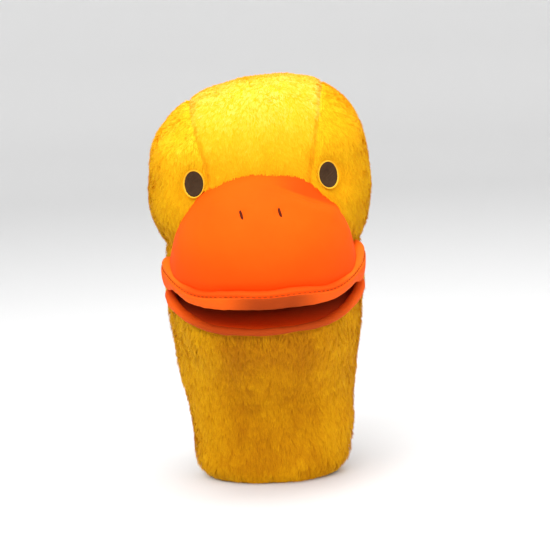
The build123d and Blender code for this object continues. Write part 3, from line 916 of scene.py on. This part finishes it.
def topstitch():
    """Row of short thread stitches sunk in the upper lip's groove."""
    steps = np.linalg.norm(np.diff(rim_path, axis=0), axis=1)
    travelled = np.concatenate([[0], np.cumsum(steps)])
    pitch, stitch, radius, depth = 3.6, 2.4, 0.34, 0.86
    out = spow(math.cos(STITCH_ANGLE), 2 / RIM_POWER) * rim_radial * depth
    up = spow(math.sin(STITCH_ANGLE), 2 / RIM_POWER) * rim_upright * depth
    line = rim_path + rim_out * out[:, None] + rim_up * up[:, None]
    bow = np.sin(np.linspace(0, math.pi, 7))
    swell = radius * (0.35 + 0.65 * np.sqrt(np.maximum(bow, 0)))
    parts = []
    for start in np.arange(8, travelled[-1] - 8, pitch):
        at = start + np.linspace(0, stitch, 7)
        points = np.stack([np.interp(at, travelled, line[:, k]) for k in range(3)], -1)
        near = np.searchsorted(travelled, start)
        points += (rim_out[near] + 0.4 * rim_up[near])[None] * (0.3 * bow - 0.1)[:, None]
        parts.append(capped(tube_grid(points, swell, swell, 8)))
    return mesh_object("rim_stitches", *join_arrays(parts))


dress(topstitch(), stitch_thread, "head", "rim_topstitch")


def palate_grid(half, length, level, droop, dish, lip, rows=50, columns=90):
    """Half-oval cloth that lines one half of the mouth: dished a little, its edge on the lip."""
    turn = np.radians(np.linspace(-90, 90, columns))[None]
    share = np.linspace(0, 1, rows)[:, None]
    x = half * np.sin(turn) * np.ones_like(share)
    ahead = np.maximum(length * np.cos(turn) * share, 0.8 - 0.8 * share)
    edge = np.clip(np.sqrt((x / half) ** 2 + (ahead / length) ** 2), 0, 1)
    around = np.degrees(np.arctan2(x / half, ahead / length))
    line, degrees = lip
    rim_z = np.interp(around, degrees * np.sign(line[:, 0]), line[:, 2])
    z = level - ahead * math.sin(droop) - dish * (1 - edge**2)
    z += (rim_z - z) * 0.5 * smooth(0.6, 1.0, edge)
    return np.stack([x, FOLD_Y - ahead * math.cos(droop), z], -1)


def mouth_half(label, body, cloth, cloth_node, board_node, sizes, bend, into):
    """The cloth and the stiff sheet under it, for the roof or the floor of the mouth."""
    grid = palate_grid(*sizes, *bend)
    face = shell(f"mouth_{label}", grid, 0.8 * into)
    dress(face, cloth, body, cloth_node)
    board_grid = grid[4: len(grid) * 9 // 10, 15:-15] - np.array([0, 0, 1.1 * into])
    board = shell(f"board_{label}", board_grid, 1.0 * into)
    dress(board, board_sheet, body, board_node)


roof_low, roof_high = box_mm("upper_palate")
mouth_half(
    "roof", "head", roof_knit, "upper_palate", "upper_mouth_board",
    (roof_high[0], FOLD_Y - roof_low[1], FOLD_Z + 0.8), (0.0, -0.8, (rim_path, rim_degrees)), -1,
)

# ---- lower bill

JAW_DROOP = math.radians(9.6)
LIP_HALF, LIP_LENGTH, LIP_RADIAL = 72.5, 88.0, 3.8
lip_line, lip_degrees = lip_path(
    LIP_HALF - LIP_RADIAL, LIP_LENGTH - LIP_RADIAL, FOLD_Z - 2.1, JAW_DROOP, side_lift=5.5
)
lip_pinch = smooth(97, 80, lip_degrees)
lip_radial = LIP_RADIAL * (0.5 + 0.5 * lip_pinch)
lip_upright = (2.5 + 1.1 * smooth(45, 70, lip_degrees)) * (0.6 + 0.4 * lip_pinch)
lip_mesh, *_ = lip_grid(lip_line, lip_radial, lip_upright, 2.3, 61)
lower_lip = mesh_object("lower_lip", *capped(lip_mesh))
dress(lower_lip, lip_knit, "jaw", "lower_bill_rim")

mouth_half(
    "floor", "jaw", floor_knit, "lower_palate", "lower_mouth_board",
    (LIP_HALF - 5.4, LIP_LENGTH - 5.6, FOLD_Z - 0.6), (JAW_DROOP, 0.8, (lip_line, lip_degrees)), 1,
)

fold_x = np.linspace(*(corner[0] for corner in box_mm("mouth_fold")), 40)
fold_line = np.stack([fold_x, np.full(40, FOLD_Y + 0.6), np.full(40, FOLD_Z)], -1)
fold_wide, fold_tall = 1.9 + 0.2 * np.sin(fold_x / 5), 1.9 + 0.2 * np.sin(fold_x / 4)
fold_roll = mesh_object("mouth_fold_roll", *capped(tube_grid(fold_line, fold_wide, fold_tall, 14)))
dress(fold_roll, fold_knit, "sleeve", "mouth_fold")


# ---- embroidery


def on_head(x, z):
    """Points on the front of the head's backing at x and z, and the even head's normals there."""
    half, depth, rise = head_sizes(z, PILE_RISE)
    left = 1 - np.abs(x / half) ** HEAD_POWER - np.abs((z - HEAD_MID_Z) / rise) ** HEAD_POWER
    y = HEAD_MID_Y - depth * np.maximum(left, 0) ** (1 / HEAD_POWER)
    points = np.stack([x, y, z], -1)
    normals = even_head_normal(points, PILE_RISE)
    return head_shape(relief(points, normals)), normals


def eye_grid(side, start, stop, rings, spokes=144):
    """Rings on the head round an eye, from one share of the eye's size to another."""
    share = np.linspace(start, stop, rings)[:, None]
    turn = once_round(spokes)[None]
    grow = np.maximum(share - 1, 0) * EYE_HALF_WIDTH
    inner = np.minimum(share, 1)
    eye_x, eye_z = eye_place(side)
    x = eye_x + (EYE_HALF_WIDTH * inner + grow) * np.cos(turn)
    z = eye_z + (EYE_HALF_HEIGHT * inner + grow) * np.sin(turn)
    return *on_head(x, z), (share - start) / (stop - start), x + 0.25 * z, turn


def make_eye(side, label):
    """Brown satin-stitch oval inside a ring of pale stitches."""
    grid, normals, out, slant, _ = eye_grid(side, 0.02, 1.0, 40)
    swell = 1.9 + 0.7 * (1 - out**3)
    threads = 0.16 * np.sin(slant * 2 * math.pi / 0.95)
    face = grid + normals * (swell + threads)[..., None]
    under = face[-1:] - normals[-1:] * 3.0
    eye = mesh_object(f"eye_{label}_satin", *capped(np.concatenate([face, under])))

    grid, normals, out, _, turn = eye_grid(side, 0.97, 1.0 + EYE_OUTLINE / EYE_HALF_WIDTH, 12)
    arch = np.sqrt(np.clip(1 - (2 * out - 1) ** 2, 0, 1))
    threads = 0.12 * np.sin(turn * 62)
    face = grid + normals * (1.2 + 1.25 * arch + threads * arch)[..., None]
    sunk = grid - normals * 1.0
    loop = np.concatenate([sunk[:1], face, sunk[-1:], sunk[:1]])
    rows, columns = loop.shape[:2]
    quads = grid_quads(rows, columns, wrap=True) % ((rows - 1) * columns)
    outline = mesh_object(f"eye_{label}_ring", loop[:-1].reshape(-1, 3), quads)
    dress(eye, eye_thread, "head", f"eye_{label}")
    dress(outline, outline_thread, "head", f"eye_outline_{label}")


def make_nostril(side, label):
    """Short dark stitch of a few lying threads, slanting across the dome."""
    parts = []
    bow = np.cos(np.linspace(-math.pi / 2, math.pi / 2, 11))
    radii = 0.5 * (0.5 + 0.5 * np.sqrt(bow))
    for offset, longer in ((-0.45, 0.9), (0.45, 1.0), (0.0, 0.95)):
        run = np.linspace(-3.3, 3.3, 11) * longer
        x = side * NOSTRIL_X - run * math.sin(NOSTRIL_SLANT) + offset
        z = NOSTRIL_Z + run * math.cos(NOSTRIL_SLANT)
        y = DOME_MID_Y - np.sqrt(np.maximum(dome_radius(z - DOME_BASE_Z + 2) ** 2 - x**2, 0))
        path = np.stack([x, y, z], -1)
        outward = unit(path - np.array([0, DOME_MID_Y, DOME_BASE_Z - 20]))
        lift = 0.5 * bow - 0.35 + 0.25 * (offset == 0)
        path = dome_relief(path, outward) + outward * lift[:, None]
        parts.append(capped(tube_grid(path, radii, radii, 8, up=(0, -1, 0))))
    stitch = mesh_object(f"nostril_{label}_stitch", *join_arrays(parts))
    dress(stitch, nostril_thread, "head", f"nostril_{label}")


for make in (make_eye, make_nostril):
    make(-1, "left")
    make(1, "right")

# ---- inside of the sleeve

LINING_FRONT = 54.0  # the lining is cut down to this height in front of the thumb


def lining_grid(rows, low, high, inset, columns=96):
    """Slack inner tube of the sleeve with soft lengthways folds."""
    turn = once_round(columns)[None]
    top = high - (high - min(high, LINING_FRONT)) * smooth(0.3, -0.6, np.sin(turn))
    z = low + (top - low) * np.linspace(0, 1, rows)[:, None]
    wide, deep, _ = sleeve_profile(z, inset)
    grid = np.stack([wide * np.cos(turn), deep * np.sin(turn), z], -1)
    fold = 0.5 * np.sin(9 * turn) * smooth(0, 30, z) + 0.6 * ripple(grid, 40, 71)
    return grid - unit(grid * LEVEL) * (0.8 + fold)[..., None]


lining = shell("sleeve_lining_cloth", lining_grid(60, 2.0, 112.0, 5.6), 0.7, wrap=True)
dress(lining, lining_cloth, "sleeve", "sleeve_lining")

band = shell("hem_band_cloth", lining_grid(14, 1.2, 17.0, 4.4), 0.9, wrap=True)
dress(band, lining_cloth, "sleeve", "hem_band")

# ---- inside of the head and bill


def stuffing(name, grid, node):
    """Closed soft form from rings, in the head."""
    form = mesh_object(name, *capped(grid))
    dress(form, filling, "head", node)


beta = np.radians(np.linspace(4, 176, 60))[:, None]
alpha = once_round(120)[None]
inner_head = head_point(*np.broadcast_arrays(alpha, beta), 9.5)
inner_head[..., 2] = np.maximum(inner_head[..., 2], 176 + 1.5 * ripple(inner_head, 30, 81))
stuffing("head_filling", inner_head[::-1], "head_stuffing")

rise = np.radians(np.linspace(6, 86, 40))[:, None]
turn = once_round(96)[None]
inner_dome = dome_point(*np.broadcast_arrays(turn, rise), 9.0)
inner_dome[..., 1] = np.minimum(inner_dome[..., 1], -6)
stuffing("bill_filling", inner_dome, "upper_bill_stuffing")


POUCH_POWER = 3.0


def pouch_grid(half, tip_y, floor_z, height, mouth_y, rows=50, columns=80):
    """Flat pouch for the hand: rings from its mouth to its closed tip, a little uneven."""
    share = np.linspace(0, 1, rows)[:, None]
    turn = once_round(columns)[None]
    close = np.maximum(1 - share**6, 0) ** (1 / 2.5)
    x = half * (1 - 0.12 * share) * close * spow(np.cos(turn), 2 / POUCH_POWER)
    tall = height / 2 * (0.25 + 0.75 * close)
    z = floor_z + height / 2 + tall * spow(np.sin(turn), 2 / POUCH_POWER)
    y = (mouth_y + (tip_y - mouth_y) * share) * np.ones_like(turn)
    grid = np.stack([x, y, z], -1)
    outward = unit(grid - grid.mean(1, keepdims=True))
    return grid + outward * (0.4 * ripple(grid, 26, 91))[..., None]


def pouch(name, node, body, turned=False):
    """Lining cloth in the box of its CAD node; turned, its mouth is below and not behind."""
    low, high = box_mm(node)
    half = (high[0] - low[0]) / 2 - 0.5
    if turned:
        rings = pouch_grid(half, high[2], low[1], high[1] - low[1] - 1, low[2])[..., [0, 2, 1]]
    else:
        mid_z, tall = (low[2] + high[2]) / 2, high[2] - low[2]
        rings = pouch_grid(half, low[1], mid_z - tall / 2 + 0.5, tall - 1, high[1])
    if body == "jaw":
        rings[..., 2] += (rings[..., 1] - high[1]) * math.tan(JAW_DROOP) - 2.2
    piece = shell(name, np.concatenate([rings, rings[:, :1]], 1), 0.7)
    dress(piece, lining_cloth, body, node)


pouch("finger_pouch", "finger_pocket", "head")
pouch("thumb_pouch", "thumb_pocket", "jaw")
pouch("head_pouch", "head_lining", "head", turned=True)

label_low, label_high = box_mm("care_label")
label_span = label_high - label_low
wide, thin = (0, 1) if label_span[0] > label_span[1] else (1, 0)
label_grid = np.zeros((16, 24, 3))
label_grid[..., wide] = np.linspace(label_low[wide] + 0.2, label_high[wide] - 0.2, 16)[:, None]
label_grid[..., 2] = np.linspace(label_low[2] + 0.2, label_high[2] - 0.2, 24)[None]
label_grid[..., thin] = (label_low[thin] + label_high[thin]) / 2
label_grid[..., thin] += 0.2 * np.sin(label_grid[..., 2] / 4)  # it curls a little
label = shell("care_label_tape", label_grid, 0.3)
dress(label, label_tape, "sleeve", "care_label")


# ---- stage, light and camera


def make_stage():
    """Pale floor that curves up into a pale wall all round."""
    reach = np.array([0.0005, 1.0, 2.2, 2.6, 2.85, 2.97, 3.0, 3.0])
    height = np.array([0.0, 0.0, 0.0, 0.06, 0.25, 0.6, 1.2, 2.6])[:, None] - 0.0005
    turn = once_round(96)[None]
    x, y = reach[:, None] * np.cos(turn), reach[:, None] * np.sin(turn)
    grid = np.stack([x, y, np.broadcast_to(height, x.shape)], -1)
    stage = mesh_object("stage", *capped(grid / MM)[:2])
    paint(stage, new_material("pale_paper", (0.88, 0.88, 0.88, 1), 0.9, 0.0))


def make_light(name, place, size, power):
    """Soft square light aimed at the middle of the puppet."""
    data = bpy.data.lights.new(name, "AREA")
    data.size = size
    data.energy = power
    lamp = put(name, data)
    lamp.location = place
    aim = Vector((0, 0, 0.16)) - Vector(place)
    lamp.rotation_euler = aim.to_track_quat("-Z", "Y").to_euler()


def make_camera():
    """Straight in front, a little above, leaning as the puppet leans in the hand."""
    elevation, roll = math.radians(8), math.radians(2.8)
    distance, view_width = 1.35, 0.4015
    target = Vector((0.0078, 0.0, 0.147))
    data = bpy.data.cameras.new("camera")
    data.sensor_width = 36
    data.lens = data.sensor_width * distance / view_width
    camera = put("camera", data)
    away = Vector((0, -math.cos(elevation), math.sin(elevation)))
    camera.location = target + away * distance
    look = (-away).to_track_quat("-Z", "Y")
    camera.rotation_mode = "QUATERNION"
    camera.rotation_quaternion = look @ Quaternion((0, 0, 1), -roll)
    bpy.context.scene.camera = camera


make_stage()
make_light("key", (-0.5, -1.1, 1.5), 1.2, 20)
make_light("fill", (1.2, -0.9, 0.7), 1.4, 7)
make_light("top", (0.05, -0.1, 1.6), 1.0, 13)
world = bpy.data.worlds.new("world")
world.use_nodes = True
background = world.node_tree.nodes["Background"]
background.inputs["Color"].default_value = (1, 1, 1, 1)
background.inputs["Strength"].default_value = 0.62
bpy.context.scene.world = world
bpy.context.scene.view_settings.view_transform = "Standard"
make_camera()
